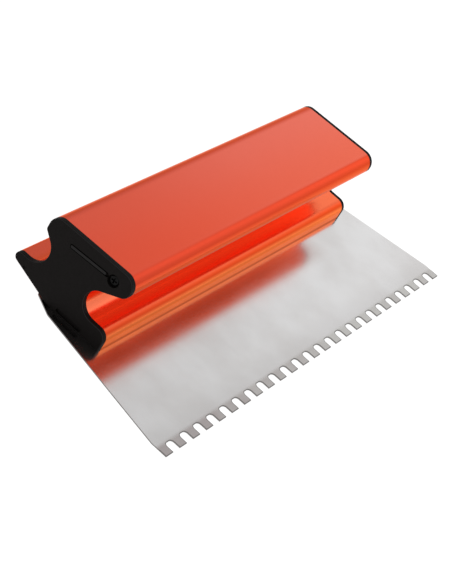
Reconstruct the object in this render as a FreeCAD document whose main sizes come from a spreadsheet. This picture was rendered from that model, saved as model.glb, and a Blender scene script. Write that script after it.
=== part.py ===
import FreeCAD, Part
import math
import os

import Sketcher

# Notched trowel: a hollow extruded handle with two end caps, and a notched steel blade that a bar clamps
# against the handle's flat base.
#
# Frame: +X along the handle, the teeth point to -Y, +Z up. The origin is below the middle of the whole
# tool, on the plane that the clamp bar rests on. All lengths are in millimetres and slopes in degrees.

doc = FreeCAD.newDocument("notched_trowel")
sheet = doc.addObject("Spreadsheet::Sheet", "dims")

DIMENSIONS = [
    # handle, along X
    ("handle_length", 250.0, "handle with both caps"),
    ("cap_flange", 3.0, "thickness of a cap's flange"),
    ("cap_edge", 0.6, "rounding of a cap's outer edge"),
    ("wall", 1.8, "wall of the extrusion"),
    # layers under the handle, along Z
    ("bar_thickness", 2.0, "clamp bar"),
    ("blade_thickness", 0.6, "blade"),
    # section of the handle: places along Y, heights above the base, radii and slopes
    ("face_y", 1.0, "front face of the lower lobe"),
    ("nose_y", 1.7, "front of the upper lobe"),
    ("back_y", 55.0, "rear of the upper lobe"),
    ("base_back_y", 36.1, "where the flat base ends and the belly rises"),
    ("top_up", 43.45, "top face above the base, at the rear"),
    ("front_groove_y", 11.85, "centre of the front finger groove"),
    ("front_groove_up", 19.1, "its height above the base"),
    ("front_groove_radius", 8.8, "front finger groove"),
    ("rear_groove_y", 56.4, "centre of the rear finger groove"),
    ("rear_groove_up", 22.4, "its height above the base"),
    ("rear_groove_radius", 9.3, "rear finger groove"),
    ("lip_radius", 5.5, "upper corner of the front face"),
    ("nose_low_radius", 5.8, "lower corner of the nose"),
    ("nose_top_radius", 6.9, "upper corner of the nose"),
    ("back_top_radius", 6.2, "upper rear corner"),
    ("back_low_radius", 2.0, "lower corner of the rear lobe"),
    ("tip_radius", 2.8, "rear tip of the lower lobe"),
    ("nose_slope", 25.6, "underside of the nose"),
    ("back_slope", 41.9, "underside of the rear lobe"),
    ("belly_slope", 17.4, "belly behind the flat base"),
    ("top_slope", 1.6, "forward rise of the top face"),
    # inside the handle
    ("web_up", 20.2, "middle of the cross web above the base"),
    ("web_thickness", 1.6, "cross web"),
    ("port_y", 12.5, "centre of the screw port"),
    ("port_up", 36.9, "its height above the base"),
    ("port_radius", 3.7, "outside of the screw port"),
    ("port_bore_radius", 1.75, "bore of the screw port"),
    ("port_rib", 2.4, "rib from the screw port to the top wall"),
    # nut channel in the base
    ("clamp_y", 17.95, "line of the clamp screws"),
    ("channel_width", 7.4, "room for the nuts"),
    ("channel_lip", 1.6, "thickness of the lips that the nuts pull on"),
    ("channel_depth", 2.6, "room above the lips"),
    ("channel_wall", 1.4, "walls and roof of the channel"),
    ("channel_mouth", 4.8, "slot between the lips"),
    # blade
    ("blade_back_y", 43.1, "rear edge"),
    ("blade_back_half", 122.6, "half of the rear edge"),
    ("blade_corner", 1.6, "rear corners"),
    ("shoulder_y", 30.5, "front end of the rear corner's cut"),
    ("shoulder_half", 129.9, "half width there"),
    ("side_end_y", -52.7, "front end of the flared side"),
    ("blade_tip_y", -62.2, "tips of the teeth"),
    ("tooth_count", 25, "teeth"),
    ("tooth_width", 6.1, "one tooth"),
    ("notch_width", 6.0, "one notch"),
    ("notch_depth", 5.8, "one notch"),
    ("notch_radius", 2.0, "corners at a notch's root"),
    ("tooth_radius", 0.3, "corners of a tooth's tip"),
    # clamp
    ("bar_length", 236.0, "clamp bar"),
    ("bar_front_y", 3.6, "front edge of the bar"),
    ("bar_back_y", 32.6, "rear edge of the bar"),
    ("bar_chamfer", 0.5, "its lower edges"),
    ("clamp_count", 5, "clamp screws"),
    ("clamp_pitch", 52.0, "between clamp screws"),
    ("clamp_hole_radius", 2.2, "hole in blade and bar"),
    ("clamp_shank_radius", 1.9, "clamp screw"),
    ("clamp_head_radius", 3.8, "its head"),
    ("clamp_head_sink", 0.1, "its head below the bar's face"),
    ("sink_clearance", 0.2, "countersink wider than the head"),
    ("overcut", 1.0, "how far a turned cut runs past the face it opens"),
    ("clamp_screw_length", 6.0, "clamp screw, head included"),
    ("hex_radius", 1.25, "hexagon socket of the clamp screw, corner radius"),
    ("hex_depth", 1.3, "hexagon socket"),
    ("nut_size", 7.0, "nut, across flats"),
    ("nut_thickness", 2.2, "nut"),
    ("nut_bore_radius", 2.0, "nut"),
    ("nut_corner", 0.3, "nut"),
    # caps
    ("plug_depth", 9.0, "locating blocks behind the flange"),
    ("plug_wall", 1.6, "wall of a locating block"),
    ("high_plug_front_y", 21.1, "upper block"),
    ("high_plug_back_y", 48.6, "upper block"),
    ("high_plug_low", 34.5, "upper block, above the base"),
    ("high_plug_high", 41.0, "upper block, above the base"),
    ("low_plug_front_y", 23.6, "lower block"),
    ("low_plug_back_y", 41.6, "lower block"),
    ("low_plug_low", 6.0, "lower block, above the base"),
    ("low_plug_high", 18.6, "lower block, above the base"),
    ("plug_corner", 1.7, "outer corners of the blocks"),
    ("recess_radius", 3.4, "round recess for the cap screw"),
    ("recess_depth", 2.1, "round recess"),
    ("cap_hole_radius", 1.9, "hole for the cap screw"),
    ("slot_front_y", 16.8, "front centre of the long slot in the cap"),
    ("slot_back_y", 39.0, "its rear centre"),
    ("slot_front_up", 37.3, "height of the front centre above the base"),
    ("slot_back_up", 35.9, "height of the rear centre above the base"),
    ("slot_radius", 1.25, "half the slot's width"),
    ("slot_depth", 1.3, "long slot"),
    ("rib_radius", 0.7, "half the width of the raised bar in the slot"),
    ("rib_height", 1.55, "raised bar above the slot's floor, a little proud of the cap"),
    ("low_slot_front_y", 14.8, "front centre of the low slot in the cap"),
    ("low_slot_back_y", 28.8, "its rear centre"),
    ("low_slot_up", 2.0, "middle of the low slot above the base"),
    ("low_slot_radius", 1.2, "half its width"),
    ("low_slot_depth", 1.0, "low slot"),
    ("gate_y", 55.0, "round moulding mark on the cap"),
    ("gate_up", 7.9, "its height above the base"),
    ("gate_radius", 0.8, "moulding mark"),
    ("gate_depth", 0.4, "moulding mark"),
    # cap screws
    ("pan_radius", 2.8, "pan head"),
    ("pan_height", 1.2, "pan head"),
    ("pan_round", 0.8, "outer edge of the pan head"),
    ("cap_shank_radius", 1.65, "shank"),
    ("cap_shank_length", 14.0, "shank under the head"),
    ("cap_point", 2.5, "cone at the end of the shank"),
    ("cross_half", 1.7, "length of an arm of the cross recess"),
    ("cross_width", 0.8, "an arm of the cross recess"),
    ("cross_depth", 1.1, "cross recess"),
]

for row, (alias, value, note) in enumerate(DIMENSIONS, start=1):
    sheet.set("A%d" % row, str(value))
    sheet.setAlias("A%d" % row, alias)
    sheet.set("B%d" % row, note)
doc.recompute()

# Expressions that several sub-parts share.
BASE = "dims.bar_thickness + dims.blade_thickness"
EDGE_HALF = "(dims.tooth_count * dims.tooth_width + (dims.tooth_count - 1) * dims.notch_width) / 2"
CLAMP_START = "-(dims.clamp_count - 1) / 2 * dims.clamp_pitch"
TINY = 1e-6


def number(expression):
    """Present value of an expression on the sheet, for a starting position that a constraint holds."""
    value = sheet.evalExpression(expression)
    return float(getattr(value, "Value", value))


def above_base(expression):
    return "%s + %s" % (BASE, expression)


def new_body(label, compound=False):
    body = doc.addObject("PartDesign::Body", label)
    body.Label = label
    body.AllowCompound = compound
    return body


def origin_feature(body, role):
    for feature in body.Origin.OriginFeatures:
        if feature.Role == role:
            return feature
    raise RuntimeError("no " + role)


def new_sketch(body, plane, name, **offsets):
    """Sketch on one of the body's own planes. offsets are expressions for x, y and z of its origin."""
    sketch = body.newObject("Sketcher::SketchObject", name)
    sketch.AttachmentSupport = [(origin_feature(body, plane), "")]
    sketch.MapMode = "FlatFace"
    for axis, expression in offsets.items():
        sketch.setExpression("AttachmentOffset.Base." + axis, expression)
    doc.recompute()
    return sketch


def hold(sketch, kind, target, expression):
    """Add one driving constraint and bind it to an expression on the sheet."""
    value = number(expression)
    if kind == "Angle":
        value = math.radians(value)
    index = sketch.addConstraint(Sketcher.Constraint(kind, *target, value))
    sketch.setExpression("Constraints[%d]" % index, expression)


def hold_point(sketch, geometry, position, x, y):
    """Fix a point of the sketch at two expressions, measured from the sketch's origin."""
    for kind, expression in (("DistanceX", x), ("DistanceY", y)):
        hold(sketch, kind, (-1, 1, geometry, position), expression)


def vector(x, y):
    return FreeCAD.Vector(x, y, 0)


def arc(centre, radius, start, end):
    """Counter-clockwise arc, its angles in degrees."""
    whole = Part.Circle(vector(*centre), FreeCAD.Vector(0, 0, 1), radius)
    return Part.ArcOfCircle(whole, math.radians(start), math.radians(end))


def polygon(sketch, corners):
    """Closed outline. A corner is (x, y) or (x, y, radius), each an expression."""
    points = [vector(number(corner[0]), number(corner[1])) for corner in corners]
    radii = [number(corner[2]) if len(corner) > 2 else 0.0 for corner in corners]
    count = len(points)
    entries = []
    exits = []
    for k in range(count):
        back = (points[k - 1] - points[k]).normalize()
        ahead = (points[(k + 1) % count] - points[k]).normalize()
        reach = radii[k] / math.tan(back.getAngle(ahead) / 2)
        entries.append(points[k] + back * reach)
        exits.append(points[k] + ahead * reach)
    lines = [
        sketch.addGeometry(Part.LineSegment(exits[k], entries[(k + 1) % count])) for k in range(count)
    ]
    for k, corner in enumerate(corners):
        before = lines[k - 1]
        after = lines[k]
        if not radii[k]:
            sketch.addConstraint(Sketcher.Constraint("Coincident", before, 2, after, 1))
            hold_point(sketch, after, 1, corner[0], corner[1])
            continue
        middle = (entries[k] - points[k]) + (exits[k] - points[k])
        half_angle = (entries[k] - points[k]).getAngle(exits[k] - points[k]) / 2
        centre = points[k] + middle.normalize() * (radii[k] / math.sin(half_angle))
        turns_left = (points[k] - entries[k]).cross(exits[k] - points[k]).z > 0
        first, last = (entries[k], exits[k]) if turns_left else (exits[k], entries[k])
        entry_end, exit_end = (1, 2) if turns_left else (2, 1)
        spokes = [first - centre, last - centre]
        angles = [math.degrees(math.atan2(spoke.y, spoke.x)) for spoke in spokes]
        if angles[1] < angles[0]:
            angles[1] += 360
        curve = sketch.addGeometry(arc((centre.x, centre.y), radii[k], *angles))
        mark = sketch.addGeometry(Part.Point(points[k]), True)
        sketch.addConstraint(
            [
                Sketcher.Constraint("Tangent", before, 2, curve, entry_end),
                Sketcher.Constraint("Tangent", after, 1, curve, exit_end),
                Sketcher.Constraint("PointOnObject", mark, 1, before),
                Sketcher.Constraint("PointOnObject", mark, 1, after),
            ]
        )
        hold(sketch, "Radius", (curve,), corner[2])
        hold_point(sketch, mark, 1, corner[0], corner[1])


def rectangle(sketch, left, bottom, right, top, radius=None):
    corners = [(left, bottom), (right, bottom), (right, top), (left, top)]
    if radius:
        corners = [corner + (radius,) for corner in corners]
    polygon(sketch, corners)


def circle(sketch, x, y, radius):
    shape = Part.Circle(vector(number(x), number(y)), FreeCAD.Vector(0, 0, 1), number(radius))
    index = sketch.addGeometry(shape)
    hold_point(sketch, index, 3, x, y)
    hold(sketch, "Radius", (index,), radius)


def slot(sketch, start, end, radius):
    """Long hole: two half circles of one radius about two centres, joined by two lines."""
    first = vector(*[number(part) for part in start])
    last = vector(*[number(part) for part in end])
    size = number(radius)
    along = (last - first).normalize()
    side = vector(-along.y, along.x) * size
    heading = math.degrees(math.atan2(along.y, along.x))
    near = sketch.addGeometry(arc((first.x, first.y), size, heading + 90, heading + 270))
    far = sketch.addGeometry(arc((last.x, last.y), size, heading - 90, heading + 90))
    low = sketch.addGeometry(Part.LineSegment(first - side, last - side))
    high = sketch.addGeometry(Part.LineSegment(last + side, first + side))
    sketch.addConstraint(
        [
            Sketcher.Constraint("Tangent", near, 2, low, 1),
            Sketcher.Constraint("Tangent", low, 2, far, 1),
            Sketcher.Constraint("Tangent", far, 2, high, 1),
            Sketcher.Constraint("Tangent", high, 2, near, 1),
        ]
    )
    hold_point(sketch, near, 3, *start)
    hold_point(sketch, far, 3, *end)
    hold(sketch, "Radius", (near,), radius)


def section(sketch, inset="0"):
    """Outline of the handle's section in Y and Z, moved inwards by inset.

    It runs from the flat base up the front face, round the front finger groove, the nose, the top face
    and the rear lobe, round the rear finger groove, and back along the sloping belly.
    """
    depth = number(inset)
    base = number(BASE) + depth
    slopes = [number("dims." + name) for name in ("nose_slope", "back_slope", "belly_slope", "top_slope")]
    nose_degrees, back_degrees, belly_degrees, top_degrees = slopes
    nose_slope, back_slope, belly_slope, top_slope = [math.radians(slope) for slope in slopes]

    def inner(name):
        return number("dims.%s - %s" % (name, inset))

    face = number("dims.face_y") + depth
    nose = number("dims.nose_y") + depth
    back = number("dims.back_y") - depth
    front = vector(number("dims.front_groove_y"), number(above_base("dims.front_groove_up")))
    front_radius = number("dims.front_groove_radius") + depth
    rear = vector(number("dims.rear_groove_y"), number(above_base("dims.rear_groove_up")))
    rear_radius = number("dims.rear_groove_radius") + depth

    # front face, lip and the ledge below the front groove
    lip = inner("lip_radius")
    ledge = front.y - front_radius
    base_front = vector(face, base)
    face_end = vector(face, ledge - lip)
    ledge_start = vector(face + lip, ledge)
    ledge_end = vector(front.x, ledge)

    # underside and front of the nose
    under = vector(-math.cos(nose_slope), math.sin(nose_slope))
    under_start = front + vector(math.sin(nose_slope), math.cos(nose_slope)) * front_radius
    low = inner("nose_low_radius")
    low_reach = low * math.tan((math.pi / 2 - nose_slope) / 2)
    low_corner = vector(nose, under_start.y + (under_start.x - nose) * math.tan(nose_slope))
    under_end = low_corner - under * low_reach
    nose_start = low_corner + vector(0, low_reach)

    # top face, from the front to the rear
    top_line = vector(math.cos(top_slope), -math.sin(top_slope))
    back_mark = vector(
        number("dims.back_y"), number(above_base("dims.top_up")) - depth / math.cos(top_slope)
    )
    high = inner("nose_top_radius")
    high_reach = high * math.tan((math.pi / 2 + top_slope) / 2)
    high_corner = vector(nose, back_mark.y + (back_mark.x - nose) * math.tan(top_slope))
    nose_end = high_corner - vector(0, high_reach)
    top_start = high_corner + top_line * high_reach
    back_high = inner("back_top_radius")
    back_reach = back_high * math.tan((math.pi / 2 - top_slope) / 2)
    back_corner = vector(back, back_mark.y + (back_mark.x - back) * math.tan(top_slope))
    top_end = back_corner - top_line * back_reach
    back_start = back_corner - vector(0, back_reach)

    # underside of the rear lobe, down to the rear groove
    groove_start = rear + vector(-math.sin(back_slope), math.cos(back_slope)) * rear_radius
    heel = inner("back_low_radius")
    heel_reach = heel * math.tan((math.pi / 2 - back_slope) / 2)
    heel_corner = vector(back, groove_start.y + (back - groove_start.x) * math.tan(back_slope))
    back_end = heel_corner + vector(0, heel_reach)
    slope_start = heel_corner - vector(math.cos(back_slope), math.sin(back_slope)) * heel_reach

    # rear ledge, tip and belly
    tip = inner("tip_radius")
    rear_ledge = rear.y - rear_radius
    belly_mark = vector(number("dims.base_back_y"), number(BASE) + depth / math.cos(belly_slope))
    rise = rear_ledge - tip - tip / math.cos(belly_slope) - belly_mark.y
    tip_centre = vector(belly_mark.x + rise / math.tan(belly_slope), rear_ledge - tip)
    belly_start = tip_centre + vector(math.sin(belly_slope), -math.cos(belly_slope)) * tip
    base_back = vector(belly_mark.x + (base - belly_mark.y) / math.tan(belly_slope), base)

    def line(start, end):
        return sketch.addGeometry(Part.LineSegment(start, end))

    floor = line(base_back, base_front)
    face_line = line(base_front, face_end)
    ledge_line = line(ledge_start, ledge_end)
    under_line = line(under_start, under_end)
    nose_line = line(nose_start, nose_end)
    top = line(top_start, top_end)
    back_line = line(back_start, back_end)
    slope_line = line(slope_start, groove_start)
    rear_line = line(vector(rear.x, rear_ledge), vector(tip_centre.x, rear_ledge))
    belly = line(belly_start, base_back)

    def bend(name, centre, radius, first, last, start, end):
        """Arc that meets a line's end at each of its own ends. A groove grows with the inset."""
        index = sketch.addGeometry(arc((centre[0], centre[1]), radius, first, last))
        sketch.addConstraint(Sketcher.Constraint("Tangent", start[0], start[1], index, 1))
        sketch.addConstraint(Sketcher.Constraint("Tangent", end[0], end[1], index, 2))
        change = "+" if "groove" in name else "-"
        hold(sketch, "Radius", (index,), "dims.%s %s %s" % (name, change, inset))
        return index

    bend("lip_radius", (face + lip, ledge - lip), lip, 90, 180, (ledge_line, 1), (face_line, 2))
    front_arc = bend(
        "front_groove_radius",
        front,
        front_radius,
        -90,
        90 - nose_degrees,
        (ledge_line, 2),
        (under_line, 1),
    )
    bend(
        "nose_low_radius",
        (nose + low, nose_start.y),
        low,
        180,
        270 - nose_degrees,
        (nose_line, 1),
        (under_line, 2),
    )
    bend(
        "nose_top_radius",
        (nose + high, nose_end.y),
        high,
        90 - top_degrees,
        180,
        (top, 1),
        (nose_line, 2),
    )
    bend(
        "back_top_radius",
        (back - back_high, back_start.y),
        back_high,
        0,
        90 - top_degrees,
        (back_line, 1),
        (top, 2),
    )
    bend(
        "back_low_radius",
        (back - heel, back_end.y),
        heel,
        back_degrees - 90,
        0,
        (slope_line, 1),
        (back_line, 2),
    )
    rear_arc = bend(
        "rear_groove_radius",
        rear,
        rear_radius,
        90 + back_degrees,
        270,
        (slope_line, 2),
        (rear_line, 1),
    )
    bend("tip_radius", tip_centre, tip, belly_degrees - 90, 90, (belly, 1), (rear_line, 2))

    sketch.addConstraint(
        [
            Sketcher.Constraint("Coincident", floor, 2, face_line, 1),
            Sketcher.Constraint("Coincident", belly, 2, floor, 1),
        ]
    )
    for index in (floor, ledge_line, rear_line):
        sketch.addConstraint(Sketcher.Constraint("Horizontal", index))
    for index in (face_line, nose_line, back_line):
        sketch.addConstraint(Sketcher.Constraint("Vertical", index))
    hold_point(sketch, face_line, 1, "dims.face_y + " + inset, above_base(inset))
    hold(sketch, "DistanceX", (-1, 1, nose_line, 1), "dims.nose_y + " + inset)
    hold(sketch, "DistanceX", (-1, 1, back_line, 1), "dims.back_y - " + inset)
    hold_point(sketch, front_arc, 3, "dims.front_groove_y", above_base("dims.front_groove_up"))
    hold_point(sketch, rear_arc, 3, "dims.rear_groove_y", above_base("dims.rear_groove_up"))
    hold(sketch, "Angle", (under_line,), "180 deg - dims.nose_slope * 1 deg")
    hold(sketch, "Angle", (slope_line,), "180 deg + dims.back_slope * 1 deg")
    hold(sketch, "Angle", (top,), "-dims.top_slope * 1 deg")
    hold(sketch, "Angle", (belly,), "180 deg + dims.belly_slope * 1 deg")

    # A construction point on each sloping line sets its height.
    top_height = above_base("dims.top_up - (%s) / cos(dims.top_slope * 1 deg)" % inset)
    belly_height = above_base("(%s) / cos(dims.belly_slope * 1 deg)" % inset)
    for point, index, x, y in (
        (back_mark, top, "dims.back_y", top_height),
        (belly_mark, belly, "dims.base_back_y", belly_height),
    ):
        mark = sketch.addGeometry(Part.Point(point), True)
        hold_point(sketch, mark, 1, x, y)
        sketch.addConstraint(Sketcher.Constraint("PointOnObject", mark, 1, index))


def pad(body, sketch, name, length, both_ways=False, backwards=False):
    feature = body.newObject("PartDesign::Pad", name)
    feature.Profile = sketch
    feature.SideType = "Symmetric" if both_ways else "One side"
    feature.Reversed = backwards
    feature.setExpression("Length", length)
    doc.recompute()
    return feature


def pocket(body, sketch, name, depth, both_ways=False, backwards=False):
    """Pocket whose direction is proved by the volume it takes away."""
    before = body.Shape.Volume
    feature = body.newObject("PartDesign::Pocket", name)
    feature.Profile = sketch
    feature.SideType = "Symmetric" if both_ways else "One side"
    feature.Reversed = backwards
    feature.setExpression("Length", depth)
    doc.recompute()
    if body.Shape.Volume > before - TINY:
        raise RuntimeError("%s of %s cuts nothing" % (name, body.Label))
    return feature


def revolve(body, kind, sketch, name, axis):
    """Revolution or Groove of a sketch about its own H_Axis or V_Axis."""
    feature = body.newObject("PartDesign::" + kind, name)
    feature.Profile = sketch
    feature.ReferenceAxis = (sketch, [axis])
    feature.Angle = 360.0
    doc.recompute()
    return feature


def repeat_along_x(body, features, name, count, pitch):
    pattern = body.newObject("PartDesign::LinearPattern", name)
    pattern.Originals = features
    pattern.Direction = (origin_feature(body, "X_Axis"), [""])
    pattern.Mode = "Spacing"
    pattern.setExpression("Offset", pitch)
    pattern.setExpression("Occurrences", count)
    body.Tip = pattern
    doc.recompute()
    return pattern


def make_handle_extrusion():
    """Hollow section with one cross web, a screw port in the nose and a nut channel in the base."""
    body = new_body("handle_extrusion")
    length = "dims.handle_length - 2 * dims.cap_flange"

    outline = new_sketch(body, "YZ_Plane", "handle_outline")
    section(outline)
    pad(body, outline, "handle_solid", length, both_ways=True)

    cavity = new_sketch(body, "YZ_Plane", "handle_cavity_outline")
    section(cavity, "dims.wall")
    pocket(body, cavity, "handle_cavity", "dims.handle_length", both_ways=True)

    half_wall = "dims.wall / 2"
    web = new_sketch(body, "YZ_Plane", "web_outline")
    rectangle(
        web,
        "dims.front_groove_y + dims.front_groove_radius + " + half_wall,
        above_base("dims.web_up - dims.web_thickness / 2"),
        "dims.rear_groove_y - dims.rear_groove_radius - " + half_wall,
        above_base("dims.web_up + dims.web_thickness / 2"),
    )
    pad(body, web, "web", length, both_ways=True)

    rib = new_sketch(body, "YZ_Plane", "port_rib_outline")
    rectangle(
        rib,
        "dims.port_y - dims.port_rib / 2",
        above_base("dims.port_up + dims.port_radius / 2"),
        "dims.port_y + dims.port_rib / 2",
        above_base("dims.top_up"),
    )
    pad(body, rib, "port_rib", length, both_ways=True)

    port = new_sketch(body, "YZ_Plane", "port_outline")
    circle(port, "dims.port_y", above_base("dims.port_up"), "dims.port_radius")
    pad(body, port, "port", length, both_ways=True)

    bore = new_sketch(body, "YZ_Plane", "port_bore_outline")
    circle(bore, "dims.port_y", above_base("dims.port_up"), "dims.port_bore_radius")
    pocket(body, bore, "port_bore", "dims.handle_length", both_ways=True)

    block = new_sketch(body, "YZ_Plane", "channel_block_outline")
    rectangle(
        block,
        "dims.clamp_y - dims.channel_width / 2 - dims.channel_wall",
        BASE,
        "dims.clamp_y + dims.channel_width / 2 + dims.channel_wall",
        above_base("dims.channel_lip + dims.channel_depth + dims.channel_wall"),
    )
    pad(body, block, "channel_block", length, both_ways=True)

    channel = new_sketch(body, "YZ_Plane", "channel_outline")
    rectangle(
        channel,
        "dims.clamp_y - dims.channel_width / 2",
        above_base("dims.channel_lip"),
        "dims.clamp_y + dims.channel_width / 2",
        above_base("dims.channel_lip + dims.channel_depth"),
    )
    pocket(body, channel, "channel", "dims.handle_length", both_ways=True)

    mouth = new_sketch(body, "YZ_Plane", "channel_mouth_outline")
    rectangle(
        mouth,
        "dims.clamp_y - dims.channel_mouth / 2",
        above_base("-dims.channel_lip / 2"),
        "dims.clamp_y + dims.channel_mouth / 2",
        above_base("dims.channel_lip * 1.5"),
    )
    pocket(body, mouth, "channel_opening", "dims.handle_length", both_ways=True)
    return body


def locating_block(body, side, name, front, low, back, high):
    """Hollow rounded block behind a cap's flange, which fits inside the extrusion."""
    start = "%d * (dims.handle_length / 2 - dims.cap_flange)" % side
    outline = new_sketch(body, "YZ_Plane", name + "_outline", z=start)
    rectangle(outline, front, above_base(low), back, above_base(high), "dims.plug_corner")
    pad(body, outline, name, "dims.plug_depth", backwards=side > 0)
    hollow = new_sketch(body, "YZ_Plane", name + "_hollow_outline", z=start)
    rectangle(
        hollow,
        front + " + dims.plug_wall",
        above_base(low + " + dims.plug_wall"),
        back + " - dims.plug_wall",
        above_base(high + " - dims.plug_wall"),
    )
    pocket(body, hollow, name + "_hollow", "dims.plug_depth", backwards=side < 0)


def make_end_cap(label, side):
    """Cap for the left end (side -1) or the right end (side 1)."""
    body = new_body(label)
    outer = "%d * dims.handle_length / 2" % side
    outline = new_sketch(body, "YZ_Plane", label + "_outline", z=outer)
    section(outline)
    flange = pad(body, outline, label + "_flange", "dims.cap_flange", backwards=side > 0)

    outer_x = number(outer)
    rim = [
        "Edge%d" % index
        for index, edge in enumerate(flange.Shape.Edges, start=1)
        if abs(edge.BoundBox.XMin - outer_x) < TINY * 10 and edge.BoundBox.XLength < TINY * 10
    ]
    rounding = body.newObject("PartDesign::Fillet", label + "_rounding")
    rounding.Base = (flange, rim)
    rounding.setExpression("Radius", "dims.cap_edge")
    doc.recompute()

    locating_block(
        body,
        side,
        label + "_high_block",
        "dims.high_plug_front_y",
        "dims.high_plug_low",
        "dims.high_plug_back_y",
        "dims.high_plug_high",
    )
    locating_block(
        body,
        side,
        label + "_low_block",
        "dims.low_plug_front_y",
        "dims.low_plug_low",
        "dims.low_plug_back_y",
        "dims.low_plug_high",
    )

    hole = new_sketch(body, "YZ_Plane", label + "_hole_outline", z=outer)
    circle(hole, "dims.port_y", above_base("dims.port_up"), "dims.cap_hole_radius")
    pocket(body, hole, label + "_hole", "dims.cap_flange * 2", backwards=side < 0)

    recess = new_sketch(body, "YZ_Plane", label + "_recess_outline", z=outer)
    circle(recess, "dims.port_y", above_base("dims.port_up"), "dims.recess_radius")
    pocket(body, recess, label + "_recess", "dims.recess_depth", backwards=side < 0)

    # A raised bar lies along the floor of the long slot.
    front_end = ("dims.slot_front_y", above_base("dims.slot_front_up"))
    back_end = ("dims.slot_back_y", above_base("dims.slot_back_up"))
    long_slot = new_sketch(body, "YZ_Plane", label + "_long_slot_outline", z=outer)
    slot(long_slot, front_end, back_end, "dims.slot_radius")
    pocket(body, long_slot, label + "_long_slot", "dims.slot_depth", backwards=side < 0)
    floor = "%d * (dims.handle_length / 2 - dims.slot_depth)" % side
    bar = new_sketch(body, "YZ_Plane", label + "_bar_outline", z=floor)
    slot(
        bar,
        ("dims.slot_front_y + dims.slot_radius", front_end[1]),
        ("dims.slot_back_y", back_end[1]),
        "dims.rib_radius",
    )
    pad(body, bar, label + "_bar", "dims.rib_height", backwards=side < 0)

    low_slot = new_sketch(body, "YZ_Plane", label + "_low_slot_outline", z=outer)
    low_height = above_base("dims.low_slot_up")
    slot(
        low_slot,
        ("dims.low_slot_front_y", low_height),
        ("dims.low_slot_back_y", low_height),
        "dims.low_slot_radius",
    )
    pocket(body, low_slot, label + "_low_slot", "dims.low_slot_depth", backwards=side < 0)

    gate = new_sketch(body, "YZ_Plane", label + "_gate_outline", z=outer)
    circle(gate, "dims.gate_y", above_base("dims.gate_up"), "dims.gate_radius")
    pocket(body, gate, label + "_gate", "dims.gate_depth", backwards=side < 0)
    return body


def make_cap_screw(label, side):
    """Self-tapping pan-head screw along X, its head on the floor of the cap's round recess."""
    body = new_body(label)
    seat = "%d * (dims.handle_length / 2 - dims.recess_depth)" % side
    inward = -side

    def along(expression):
        return "%s + %d * (%s)" % (seat, inward, expression)

    profile = new_sketch(
        body, "XZ_Plane", label + "_profile", z="-dims.port_y", y=above_base("dims.port_up")
    )
    crown = along("-dims.pan_height")
    polygon(
        profile,
        [
            (crown, "0"),
            (crown, "dims.pan_radius", "dims.pan_round"),
            (seat, "dims.pan_radius"),
            (seat, "dims.cap_shank_radius"),
            (along("dims.cap_shank_length - dims.cap_point"), "dims.cap_shank_radius"),
            (along("dims.cap_shank_length"), "0"),
        ],
    )
    revolve(body, "Revolution", profile, label + "_turned", "H_Axis")

    arm = "dims.cross_half"
    half_width = "dims.cross_width / 2"
    for name, across, up in (("upright", half_width, arm), ("level", arm, half_width)):
        cross = new_sketch(body, "YZ_Plane", "%s_cross_%s" % (label, name), z=crown)
        rectangle(
            cross,
            "dims.port_y - " + across,
            above_base("dims.port_up - " + up),
            "dims.port_y + " + across,
            above_base("dims.port_up + " + up),
        )
        pocket(body, cross, "%s_cross_cut_%s" % (label, name), "dims.cross_depth", backwards=side < 0)
    return body


def make_notched_blade():
    """Flat blade, flared towards the toothed edge, with screw holes under the handle."""
    body = new_body("notched_blade")
    outline = new_sketch(body, "XY_Plane", "blade_outline", z="dims.bar_thickness")
    right_side = [
        ("dims.blade_back_half", "dims.blade_back_y", "dims.blade_corner"),
        ("dims.shoulder_half", "dims.shoulder_y", "dims.blade_corner"),
        (EDGE_HALF, "dims.side_end_y"),
        (EDGE_HALF, "dims.blade_tip_y", "dims.tooth_radius"),
    ]
    left_side = [("-(%s)" % corner[0],) + corner[1:] for corner in reversed(right_side)]
    polygon(outline, right_side + left_side)
    pad(body, outline, "blade_plate", "dims.blade_thickness")

    holes = new_sketch(body, "XY_Plane", "blade_hole_outline", z="dims.bar_thickness", x=CLAMP_START)
    circle(holes, "0", "dims.clamp_y", "dims.clamp_hole_radius")
    hole = pocket(body, holes, "blade_hole", "dims.blade_thickness * 4", both_ways=True)
    repeat_along_x(body, [hole], "blade_holes", "dims.clamp_count", "dims.clamp_pitch")

    first = "-(%s) + dims.tooth_width + dims.notch_width / 2" % EDGE_HALF
    cut = new_sketch(body, "XY_Plane", "notch_outline", z="dims.bar_thickness", x=first)
    half = "dims.notch_width / 2"
    root = "dims.blade_tip_y + dims.notch_depth"
    outside = "dims.blade_tip_y - dims.notch_depth"
    polygon(
        cut,
        [
            ("-" + half, outside),
            (half, outside),
            (half, root, "dims.notch_radius"),
            ("-" + half, root, "dims.notch_radius"),
        ],
    )
    notch = pocket(body, cut, "notch", "dims.blade_thickness * 4", both_ways=True)
    repeat_along_x(
        body, [notch], "notches", "dims.tooth_count - 1", "dims.tooth_width + dims.notch_width"
    )
    return body


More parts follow.
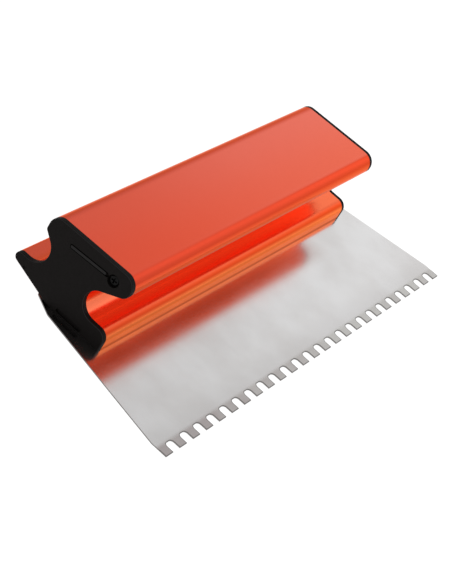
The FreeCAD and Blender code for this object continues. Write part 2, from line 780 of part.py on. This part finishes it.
def make_blade_clamp_bar():
    """Flat bar under the blade, with countersunk holes for the clamp screws."""
    body = new_body("blade_clamp_bar")
    profile = new_sketch(body, "YZ_Plane", "bar_profile")
    polygon(
        profile,
        [
            ("dims.bar_front_y", "dims.bar_chamfer"),
            ("dims.bar_front_y + dims.bar_chamfer", "0"),
            ("dims.bar_back_y - dims.bar_chamfer", "0"),
            ("dims.bar_back_y", "dims.bar_chamfer"),
            ("dims.bar_back_y", "dims.bar_thickness"),
            ("dims.bar_front_y", "dims.bar_thickness"),
        ],
    )
    pad(body, profile, "bar_strip", "dims.bar_length", both_ways=True)

    # Half section of one countersunk hole, turned about the hole's axis.
    sink = new_sketch(body, "XZ_Plane", "countersink_profile", x=CLAMP_START, z="-dims.clamp_y")
    wide = "dims.clamp_head_radius + dims.sink_clearance"
    narrow = "dims.clamp_hole_radius"
    above = "dims.bar_thickness + dims.overcut"
    polygon(
        sink,
        [
            ("0", "-dims.overcut"),
            (wide, "-dims.overcut"),
            (wide, "0"),
            (narrow, wide + " - dims.clamp_hole_radius"),
            (narrow, above),
            ("0", above),
        ],
    )
    hole = revolve(body, "Groove", sink, "countersunk_hole", "V_Axis")
    repeat_along_x(body, [hole], "countersunk_holes", "dims.clamp_count", "dims.clamp_pitch")
    return body


def make_clamp_screws():
    """Countersunk socket screws, heads flush with the bar's underside, as one group."""
    body = new_body("clamp_screws", compound=True)
    profile = new_sketch(body, "XZ_Plane", "clamp_screw_profile", x=CLAMP_START, z="-dims.clamp_y")
    face = "dims.clamp_head_sink"
    polygon(
        profile,
        [
            ("0", face),
            ("dims.clamp_head_radius", face),
            ("dims.clamp_shank_radius", face + " + dims.clamp_head_radius - dims.clamp_shank_radius"),
            ("dims.clamp_shank_radius", "dims.clamp_screw_length"),
            ("0", "dims.clamp_screw_length"),
        ],
    )
    turned = revolve(body, "Revolution", profile, "clamp_screw_turned", "V_Axis")

    socket = new_sketch(body, "XY_Plane", "socket_outline", x=CLAMP_START, y="dims.clamp_y")
    corners = [
        ("dims.hex_radius * cos(%d deg)" % angle, "dims.hex_radius * sin(%d deg)" % angle)
        for angle in range(0, 360, 60)
    ]
    polygon(socket, corners)
    hexagon = pocket(body, socket, "socket", "dims.hex_depth", backwards=True)
    repeat_along_x(body, [turned, hexagon], "clamp_screw_row", "dims.clamp_count", "dims.clamp_pitch")
    return body


def make_clamp_nuts():
    """Square nuts that rest on the lips of the channel, as one group."""
    body = new_body("clamp_nuts", compound=True)
    seat = above_base("dims.channel_lip")
    outline = new_sketch(body, "XY_Plane", "nut_outline", x=CLAMP_START, y="dims.clamp_y", z=seat)
    half = "dims.nut_size / 2"
    rectangle(outline, "-" + half, "-" + half, half, half, "dims.nut_corner")
    circle(outline, "0", "0", "dims.nut_bore_radius")
    nut = pad(body, outline, "nut", "dims.nut_thickness")
    repeat_along_x(body, [nut], "nut_row", "dims.clamp_count", "dims.clamp_pitch")
    return body


SUB_PARTS = [
    make_handle_extrusion(),
    make_end_cap("end_cap_left", -1),
    make_end_cap("end_cap_right", 1),
    make_cap_screw("end_cap_screw_left", -1),
    make_cap_screw("end_cap_screw_right", 1),
    make_notched_blade(),
    make_blade_clamp_bar(),
    make_clamp_screws(),
    make_clamp_nuts(),
]
SOLIDS = {"clamp_screws": "dims.clamp_count", "clamp_nuts": "dims.clamp_count"}

doc.recompute()
for item in doc.Objects:
    if "Invalid" in item.State or "Error" in item.State:
        raise RuntimeError("%s failed: %s" % (item.Label, item.State))
for sub_part in SUB_PARTS:
    shape = sub_part.Shape
    if shape.isNull() or not shape.isValid():
        raise RuntimeError(sub_part.Label + " has no valid shape")
    expected = int(number(SOLIDS.get(sub_part.Label, "1")))
    if len(shape.Solids) != expected:
        raise RuntimeError("%s has %d solids" % (sub_part.Label, len(shape.Solids)))

os.makedirs("parts", exist_ok=True)
for sub_part in SUB_PARTS:
    sub_part.Shape.exportStep(os.path.join("parts", sub_part.Label + ".step"))
    box = sub_part.Shape.BoundBox
    print(
        "%-20s %9.1f mm3  X %.2f..%.2f  Y %.2f..%.2f  Z %.2f..%.2f"
        % (sub_part.Label, sub_part.Shape.Volume, box.XMin, box.XMax, box.YMin, box.YMax, box.ZMin, box.ZMax)
    )
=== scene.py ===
from math import radians

import bmesh
import bpy
from mathutils import Matrix, Vector


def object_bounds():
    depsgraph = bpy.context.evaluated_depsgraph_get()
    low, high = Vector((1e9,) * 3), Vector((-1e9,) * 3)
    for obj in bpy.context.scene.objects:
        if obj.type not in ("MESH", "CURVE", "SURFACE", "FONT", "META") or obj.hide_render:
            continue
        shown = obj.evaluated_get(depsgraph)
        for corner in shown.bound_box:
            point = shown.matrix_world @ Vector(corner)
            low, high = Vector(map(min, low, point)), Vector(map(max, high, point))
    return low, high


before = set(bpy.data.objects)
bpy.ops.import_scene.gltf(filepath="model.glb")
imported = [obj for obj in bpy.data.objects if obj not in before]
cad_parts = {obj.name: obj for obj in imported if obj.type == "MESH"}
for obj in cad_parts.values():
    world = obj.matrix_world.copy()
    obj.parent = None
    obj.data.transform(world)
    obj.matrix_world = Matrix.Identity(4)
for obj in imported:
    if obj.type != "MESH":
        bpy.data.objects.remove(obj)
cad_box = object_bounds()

# The handle lies along X, the teeth point to -Y and Z is up. Lengths are in metres.
scene = bpy.context.scene

# ---------------------------------------------------------------- camera
# Angles in degrees. The azimuth goes from the front towards the right, and the roll tips the horizon.
CAMERA_AZIMUTH = -74.4443
CAMERA_ELEVATION = 32.6037
CAMERA_ROLL = 33.1080
CAMERA_TARGET = (0.0, -0.001678, -0.005684)
CAMERA_DISTANCE = 1.063635
SENSOR_MM = 36.0
LENS_MM = 123.44
CLIP_START = 0.05
CLIP_END = 60.0


def make_camera():
    data = bpy.data.cameras.new("camera")
    data.sensor_width = SENSOR_MM
    data.lens = LENS_MM
    data.clip_start = CLIP_START
    data.clip_end = CLIP_END
    camera = bpy.data.objects.new("camera", data)
    scene.collection.objects.link(camera)
    azimuth = Matrix.Rotation(radians(CAMERA_AZIMUTH), 4, "Z")
    tilt = Matrix.Rotation(radians(90.0 - CAMERA_ELEVATION), 4, "X")
    roll = Matrix.Rotation(radians(CAMERA_ROLL), 4, "Z")
    away = Matrix.Translation((0.0, 0.0, CAMERA_DISTANCE))
    camera.matrix_world = Matrix.Translation(CAMERA_TARGET) @ azimuth @ tilt @ roll @ away
    scene.camera = camera


# ---------------------------------------------------------------- node helpers
class Graph:
    """A material's or the world's node tree, with short ways to add nodes and join them."""

    def __init__(self, owner):
        owner.use_nodes = True
        self.tree = owner.node_tree
        self.tree.nodes.clear()

    def add(self, kind, values=None, **settings):
        node = self.tree.nodes.new(kind)
        for key, value in settings.items():
            setattr(node, key, value)
        for key, value in (values or {}).items():
            self.put(node, key, value)
        return node

    def put(self, node, key, value):
        """Set an input to a value, or link another node's output to it."""
        socket = node.inputs[key]
        if isinstance(value, bpy.types.NodeSocket):
            self.tree.links.new(value, socket)
        else:
            socket.default_value = value

    def math(self, operation, *values):
        node = self.add("ShaderNodeMath", operation=operation)
        for index, value in enumerate(values):
            self.put(node, index, value)
        return node.outputs[0]

    def times(self, first, second):
        return self.math("MULTIPLY", first, second)

    def ramp(self, value, low, high, out_low=0.0, out_high=1.0):
        """Go smoothly from out_low to out_high while the value goes from low to high."""
        node = self.add("ShaderNodeMapRange", interpolation_type="SMOOTHSTEP", clamp=True)
        for key, number in (
            ("Value", value),
            ("From Min", low),
            ("From Max", high),
            ("To Min", out_low),
            ("To Max", out_high),
        ):
            self.put(node, key, number)
        return node.outputs[0]

    def fall(self, value, low, high):
        """Go smoothly from 1 to 0 while the value goes from low to high."""
        return self.ramp(value, low, high, 1.0, 0.0)

    def mix(self, factor, first, second):
        node = self.add("ShaderNodeMix", data_type="RGBA")
        for index, value in ((0, factor), (6, first), (7, second)):
            self.put(node, index, value)
        return node.outputs[2]

    def split(self, vector):
        return self.add("ShaderNodeSeparateXYZ", {0: vector}).outputs

    def position(self, stretch=(1, 1, 1)):
        """Place on the object in metres, stretched, so that a scratch keeps its real size."""
        coordinates = self.add("ShaderNodeTexCoord")
        mapping = self.add("ShaderNodeMapping", {"Vector": coordinates.outputs["Object"], "Scale": stretch})
        return mapping.outputs[0]

    def place(self):
        """X, Y and Z of the place on the object."""
        return self.split(self.position())

    def normal(self):
        """X, Y and Z of the direction that the surface faces."""
        return self.split(self.add("ShaderNodeTexCoord").outputs["Normal"])

    def noise(self, scale, detail=3.0, roughness=0.5, stretch=(1, 1, 1)):
        node = self.add(
            "ShaderNodeTexNoise",
            {"Vector": self.position(stretch), "Scale": scale, "Detail": detail, "Roughness": roughness},
        )
        return node.outputs[0]

    def spread(self, noise, low=0.0, high=1.0):
        """Stretch the middle of a noise's range over low to high."""
        return self.ramp(noise, 0.3, 0.7, low, high)

    def bump(self, height, distance, strength):
        node = self.add("ShaderNodeBump", {"Height": height, "Distance": distance, "Strength": strength})
        return node.outputs[0]


def colour(red, green, blue):
    return (red, green, blue, 1.0)


def grey(level):
    return colour(level, level, level)


def material(name):
    made = bpy.data.materials.new(name)
    graph = Graph(made)
    shader = graph.add("ShaderNodeBsdfPrincipled")
    output = graph.add("ShaderNodeOutputMaterial")
    graph.tree.links.new(shader.outputs[0], output.inputs[0])
    return made, graph, shader


def metal(name):
    made, graph, shader = material(name)
    graph.put(shader, "Metallic", 1.0)
    return made, graph, shader


# ---------------------------------------------------------------- anodised handle
# Places between which one look of the handle fades into the next.
HANDLE_LEFT_TO_RIGHT = (-0.14, 0.14)
TOP_FRONT_TO_REAR = (0.005, 0.055)
REAR_BEND_Y = (0.0475, 0.0510)
GROOVE_MOUTH_Y = (0.003, 0.007)
LOWER_HALF_Z = (0.030, 0.033)

# The same for the way that the surface faces.
TOP_NORMAL_Z = (0.93, 0.995)
SLOPE_NORMAL_Z = (0.20, 0.60)
UNDERSIDE_NORMAL_Z = (-0.35, -0.05)
GROOVE_BACK_NORMAL_Y = (-0.98, -0.80)
FRONT_FACE_NORMAL_Y = (-0.96, -0.66)

COAT_ROUGHNESS = (0.18, 0.22)
LOWER_HALF_ROUGHER = 0.03


def make_coat():
    """Orange anodised aluminium, with painted light and shade set zone by zone, and a painted sheen on the
    top face.
    """
    made, graph, shader = metal("orange_anodised")
    place = graph.place()
    normal = graph.normal()
    cloud = graph.spread(graph.noise(scale=14.0, detail=4.0), -0.04, 0.04)
    along = graph.math("ADD", graph.ramp(place[0], *HANDLE_LEFT_TO_RIGHT), cloud)
    bend = graph.ramp(place[1], *REAR_BEND_Y)

    # Painted sheen: the top face is paler to the right and the rear. Painted shade: it is darker where it
    # bends down at the rear.
    top_front = graph.mix(along, colour(0.825, 0.106, 0.060), colour(0.840, 0.168, 0.115))
    top_rear = graph.mix(along, colour(0.780, 0.120, 0.078), colour(0.830, 0.200, 0.160))
    top = graph.mix(graph.ramp(place[1], *TOP_FRONT_TO_REAR), top_front, top_rear)
    top = graph.mix(bend, top, colour(0.62, 0.096, 0.070))

    # The rest of the upper lobe: its nose, its rear and its underside. Painted shade darkens the upper
    # rounding of the nose and the rear bend, and a painted reflection lightens the underside.
    slope = graph.ramp(normal[2], *SLOPE_NORMAL_Z)
    upper = graph.mix(slope, colour(0.78, 0.115, 0.056), colour(0.68, 0.066, 0.032))
    upper = graph.mix(bend, upper, colour(0.64, 0.090, 0.060))
    underside = graph.fall(normal[2], *UNDERSIDE_NORMAL_Z)
    upper = graph.mix(underside, upper, colour(0.86, 0.094, 0.032))

    # The lower half: a red lip, and below it a front face made pale by painted light. The finger groove is
    # lit by painted light, with painted shade at its deeper back and at the rear bend.
    front_face = graph.fall(normal[1], *FRONT_FACE_NORMAL_Y)
    lower = graph.mix(front_face, colour(0.68, 0.068, 0.020), colour(1.0, 0.240, 0.078))
    groove_back = graph.fall(normal[1], *GROOVE_BACK_NORMAL_Y)
    groove = graph.mix(groove_back, colour(1.0, 0.205, 0.100), colour(0.82, 0.140, 0.060))
    lower = graph.mix(graph.ramp(place[1], *GROOVE_MOUTH_Y), lower, groove)
    lower = graph.mix(bend, lower, colour(0.66, 0.100, 0.060))

    low = graph.fall(place[2], *LOWER_HALF_Z)
    on_top = graph.times(graph.ramp(normal[2], *TOP_NORMAL_Z), graph.math("SUBTRACT", 1.0, low))
    graph.put(shader, "Base Color", graph.mix(on_top, graph.mix(low, upper, lower), top))
    graph.put(shader, "Specular Tint", colour(1.0, 0.55, 0.42))
    grain = graph.spread(graph.noise(scale=400.0, detail=5.0), *COAT_ROUGHNESS)
    graph.put(shader, "Roughness", graph.math("ADD", grain, graph.times(low, LOWER_HALF_ROUGHER)))
    return made


# ---------------------------------------------------------------- plastic caps
# The cap's outer face is at 125 mm, so only the raised bar lies beyond this.
RAISED_BAR_X = (0.12505, 0.12515)
# How strong the painted highlight on the raised bar is.
RAISED_BAR_HIGHLIGHT = 0.6

# The rounded edge lies between the walls, which face along Y and Z, and the outer face, which faces along X.
EDGE_FROM_WALL_NORMAL_X = (0.35, 0.75)
EDGE_TO_FACE_NORMAL_X = (0.80, 0.985)


def make_cap_plastic():
    """Black moulded plastic, with a painted highlight on its rounded edges and raised bar."""
    made, graph, shader = material("cap_plastic")
    # Painted highlight: the rounded edges and the raised bar turn a lighter grey than the black.
    sideways = graph.math("ABSOLUTE", graph.normal()[0])
    off_wall = graph.ramp(sideways, *EDGE_FROM_WALL_NORMAL_X)
    edge = graph.times(off_wall, graph.fall(sideways, *EDGE_TO_FACE_NORMAL_X))
    outward = graph.math("ABSOLUTE", graph.place()[0])
    raised = graph.times(graph.ramp(outward, *RAISED_BAR_X), RAISED_BAR_HIGHLIGHT)
    mottle = graph.noise(scale=220.0, detail=4.0)
    black = graph.mix(mottle, colour(0.0060, 0.0050, 0.0047), colour(0.0085, 0.0072, 0.0068))
    tone_change = graph.mix(graph.math("MAXIMUM", edge, raised), black, colour(0.026, 0.025, 0.025))
    graph.put(shader, "Base Color", tone_change)
    graph.put(shader, "Roughness", graph.spread(graph.noise(scale=600.0, detail=4.0), 0.48, 0.60))
    graph.put(shader, "Specular IOR Level", 0.05)
    graph.put(shader, "Normal", graph.bump(graph.noise(scale=5200.0), distance=0.00004, strength=0.5))
    return made


# ---------------------------------------------------------------- blade
# The notches, so that a mask can follow them. A notch has its middle halfway between whole pitches.
NOTCH_PITCH = 0.0121
NOTCH_HALF = 0.0030
NOTCH_ROUND = 0.0020
NOTCH_DEPTH = 0.0058
TIP_Y = cad_box[0].y
NOTCH_ROOT_Y = TIP_Y + NOTCH_DEPTH
DARK_RIM_WIDTH = 0.0006
DARK_RIM_CORE = 0.3 * DARK_RIM_WIDTH

# Places between which one look of the blade fades into the next.
TOOTH_BAND_Y = (-0.0573, -0.0545)
TOOTH_LEFT_TO_RIGHT = (-0.14, 0.06)
DARKER_TO_TEETH_Y = (-0.058, -0.040)
# Where the painted reflection of the handle lies on the blade, and where the painted shade under the
# handle's front edge lies.
HANDLE_REFLECTION_FRONT_Y = (-0.019, -0.010)
HANDLE_REFLECTION_REAR_Y = (-0.007, -0.002)
HANDLE_REFLECTION_RIGHT_X = (0.065, 0.095)
HANDLE_SHADE_Y = (0.0002, 0.0007)
HANDLE_SHADE_END_X = (0.1225, 0.1240)
REAR_EDGE_SHADE_Y = (0.0315, 0.0355)
CUT_WALL_NORMAL_Z = (0.3, 0.8)

# How strong a look is at the front and at the rear of its zone: first the darkening towards the teeth, then
# the painted reflection of the handle.
DARKER_TO_TEETH_SHARE = (0.18, 0.0)
HANDLE_REFLECTION_SHARE = (0.75, 0.15)
TOOTH_BAND_ROUGHER = 0.12


def notch_rim(graph, place):
    """A mask that is 1 beside the notches and along the tips, where a thin dark rim is drawn."""
    turn = graph.math("SUBTRACT", graph.math("FRACT", graph.math("DIVIDE", place[0], NOTCH_PITCH)), 0.5)
    across = graph.times(graph.math("ABSOLUTE", turn), NOTCH_PITCH)
    aside = graph.math("MAXIMUM", graph.math("SUBTRACT", across, NOTCH_HALF - NOTCH_ROUND), 0.0)
    beyond = graph.math("MAXIMUM", graph.math("SUBTRACT", place[1], NOTCH_ROOT_Y - NOTCH_ROUND), 0.0)
    squared = graph.math("ADD", graph.times(aside, aside), graph.times(beyond, beyond))
    gap = graph.math("SUBTRACT", graph.math("SQRT", squared), NOTCH_ROUND)
    beside = graph.fall(gap, DARK_RIM_CORE, DARK_RIM_WIDTH)
    tip = graph.fall(graph.math("SUBTRACT", place[1], TIP_Y), DARK_RIM_CORE, DARK_RIM_WIDTH)
    return graph.math("MAXIMUM", beside, tip)


def make_blade_steel():
    """Ground stainless sheet: soft clouds, fine scratches, a dull band at the teeth and dark cut edges, with
    a painted reflection of the handle and painted shade where it meets the handle.
    """
    made, graph, shader = metal("blade_steel")
    place = graph.place()
    cloud = graph.spread(graph.noise(scale=24.0, detail=5.0, roughness=0.55))
    steel = graph.mix(cloud, colour(0.655, 0.640, 0.635), colour(0.735, 0.730, 0.732))
    # Darker towards the teeth.
    tone_change = graph.ramp(place[1], *DARKER_TO_TEETH_Y, *DARKER_TO_TEETH_SHARE)
    steel = graph.mix(tone_change, steel, colour(0.30, 0.28, 0.27))

    # A painted reflection of the orange handle, as a warm tint near it, and painted shade where the two
    # meet.
    handle_reflection = graph.times(graph.ramp(place[1], *HANDLE_REFLECTION_FRONT_Y), graph.ramp(place[1], *HANDLE_REFLECTION_REAR_Y, *HANDLE_REFLECTION_SHARE))
    handle_reflection = graph.times(handle_reflection, graph.fall(place[0], *HANDLE_REFLECTION_RIGHT_X))
    steel = graph.mix(handle_reflection, steel, colour(0.54, 0.47, 0.45))
    under_handle = graph.fall(graph.math("ABSOLUTE", place[0]), *HANDLE_SHADE_END_X)
    handle_shade = graph.times(graph.ramp(place[1], *HANDLE_SHADE_Y), under_handle)
    steel = graph.mix(handle_shade, steel, colour(0.42, 0.37, 0.35))

    # The dull band of the teeth, darker to the left in painted shade, the rear edge in painted shade, the
    # dark rims at the notches and the cut walls.
    patch = graph.spread(graph.noise(scale=45.0, detail=2.0), -0.3, 0.3)
    # Painted shade: the tooth band is darker to the left, as the room's light falls.
    along = graph.math("ADD", graph.ramp(place[0], *TOOTH_LEFT_TO_RIGHT), patch)
    tooth = graph.mix(along, colour(0.44, 0.405, 0.40), colour(0.56, 0.55, 0.53))
    band = graph.fall(place[1], *TOOTH_BAND_Y)
    steel = graph.mix(band, steel, tooth)
    # Painted shade: the blade's rear edge goes near black.
    steel = graph.mix(graph.ramp(place[1], *REAR_EDGE_SHADE_Y), steel, grey(0.03))
    steel = graph.mix(notch_rim(graph, place), steel, colour(0.16, 0.15, 0.145))
    cut_wall = graph.fall(graph.math("ABSOLUTE", graph.normal()[2]), *CUT_WALL_NORMAL_Z)
    graph.put(shader, "Base Color", graph.mix(cut_wall, steel, colour(0.20, 0.19, 0.185)))

    lines = graph.noise(scale=60.0, detail=6.0, roughness=0.6, stretch=(1.0, 40.0, 1.0))
    smear = graph.noise(scale=35.0, detail=4.0)
    rough = graph.math("ADD", graph.spread(lines, 0.0, 0.02), graph.spread(smear, 0.16, 0.19))
    graph.put(shader, "Roughness", graph.math("ADD", rough, graph.times(band, TOOTH_BAND_ROUGHER)))
    return made


# ---------------------------------------------------------------- fasteners and clamp bar
def make_screw_steel():
    """Steel, near black: painted shade of the deep recess in the cap that it sits in."""
    made, graph, shader = metal("screw_steel")
    graph.put(shader, "Base Color", graph.mix(graph.noise(scale=900.0), grey(0.006), grey(0.014)))
    graph.put(shader, "Roughness", graph.spread(graph.noise(scale=1500.0), 0.30, 0.45))
    return made


def make_clamp_steel():
    """Zinc-plated steel."""
    made, graph, shader = metal("clamp_steel")
    tone = graph.mix(graph.noise(scale=700.0), colour(0.50, 0.50, 0.50), colour(0.62, 0.62, 0.60))
    graph.put(shader, "Base Color", tone)
    graph.put(shader, "Roughness", graph.spread(graph.noise(scale=1500.0), 0.28, 0.40))
    return made


def make_bar_aluminium():
    """Extruded bar with faint lines along X."""
    made, graph, shader = metal("bar_aluminium")
    lines = graph.noise(scale=90.0, detail=5.0, roughness=0.6, stretch=(0.2, 30.0, 30.0))
    graph.put(shader, "Base Color", graph.mix(lines, colour(0.66, 0.66, 0.67), colour(0.80, 0.80, 0.81)))
    graph.put(shader, "Roughness", graph.spread(lines, 0.30, 0.42))
    graph.put(shader, "Normal", graph.bump(lines, distance=0.00001, strength=0.4))
    return made


# ---------------------------------------------------------------- studio
FLOOR_RADIUS = 12.0
FLOOR_SIDES = 96
FLOOR_GAP = 0.0002

# Brightness of the room. Each row: axis of the direction, where the change starts and ends along it,
# and the factor before and after.
X, Y, Z = 0, 1, 2
ROOM = (
    (X, 0.68, 0.92, 0.67, 1.08),  # brighter to the right
    (Y, -0.25, 0.0, 1.40, 1.0),  # brighter to the front
    (Y, -0.55, -0.36, 0.80, 1.0),  # but less so straight in front
    (Z, 0.0, 0.40, 0.92, 1.0),  # dimmer near the floor
    (Z, 0.70, 0.88, 1.0, 0.55),  # dimmer overhead
)

LAMP_PLACE = (0.2, 0.1, 1.6)
LAMP_TARGET = (0.0, 0.0, 0.0)
LAMP_SIZE = (1.6, 1.2)
LAMP_WATTS = 3.2


def make_floor():
    """Plain pale floor. It glows, so that it stays white where the object shades it."""
    made, graph, shader = material("floor")
    graph.put(shader, "Base Color", graph.mix(graph.noise(scale=2.0, detail=2.0), grey(0.10), grey(0.12)))
    graph.put(shader, "Roughness", 0.9)
    graph.put(shader, "Specular IOR Level", 0.1)
    graph.put(shader, "Emission Color", grey(1.0))
    graph.put(shader, "Emission Strength", 1.0)
    mesh = bpy.data.meshes.new("floor")
    shape = bmesh.new()
    bmesh.ops.create_circle(shape, cap_ends=True, segments=FLOOR_SIDES, radius=FLOOR_RADIUS)
    shape.to_mesh(mesh)
    shape.free()
    mesh.materials.append(made)
    floor = bpy.data.objects.new("floor", mesh)
    floor.location.z = cad_box[0].z - FLOOR_GAP
    scene.collection.objects.link(floor)


def make_world():
    """Soft white room. The camera sees it plain white; the object is lit and mirrored by ROOM."""
    world = bpy.data.worlds.new("studio")
    scene.world = world
    graph = Graph(world)
    background = graph.add("ShaderNodeBackground")
    output = graph.add("ShaderNodeOutputWorld")
    graph.tree.links.new(background.outputs[0], output.inputs[0])
    direction = graph.split(graph.add("ShaderNodeTexCoord").outputs["Generated"])
    brightness = 1.0
    for axis, start, end, before, after in ROOM:
        brightness = graph.times(graph.ramp(direction[axis], start, end, before, after), brightness)
    seen = graph.add("ShaderNodeLightPath").outputs["Is Camera Ray"]
    graph.put(background, "Color", grey(1.0))
    graph.put(background, "Strength", graph.math("MAXIMUM", brightness, seen))


def make_lamp():
    data = bpy.data.lights.new("overhead", "AREA")
    data.shape = "RECTANGLE"
    data.size, data.size_y = LAMP_SIZE
    data.energy = LAMP_WATTS
    lamp = bpy.data.objects.new("overhead", data)
    lamp.location = LAMP_PLACE
    lamp.rotation_mode = "QUATERNION"
    lamp.rotation_quaternion = (Vector(LAMP_TARGET) - Vector(LAMP_PLACE)).to_track_quat("-Z", "Y")
    scene.collection.objects.link(lamp)


# ---------------------------------------------------------------- build
LOOKS = (
    (make_coat, ("handle_extrusion",)),
    (make_cap_plastic, ("end_cap_left", "end_cap_right")),
    (make_screw_steel, ("end_cap_screw_left", "end_cap_screw_right")),
    (make_blade_steel, ("notched_blade",)),
    (make_bar_aluminium, ("blade_clamp_bar",)),
    (make_clamp_steel, ("clamp_screws", "clamp_nuts")),
)

make_camera()
scene.view_settings.view_transform = "Standard"
make_floor()
make_world()
make_lamp()

for make_look, nodes in LOOKS:
    look = make_look()
    for node in nodes:
        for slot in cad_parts[node].material_slots:
            slot.material = look
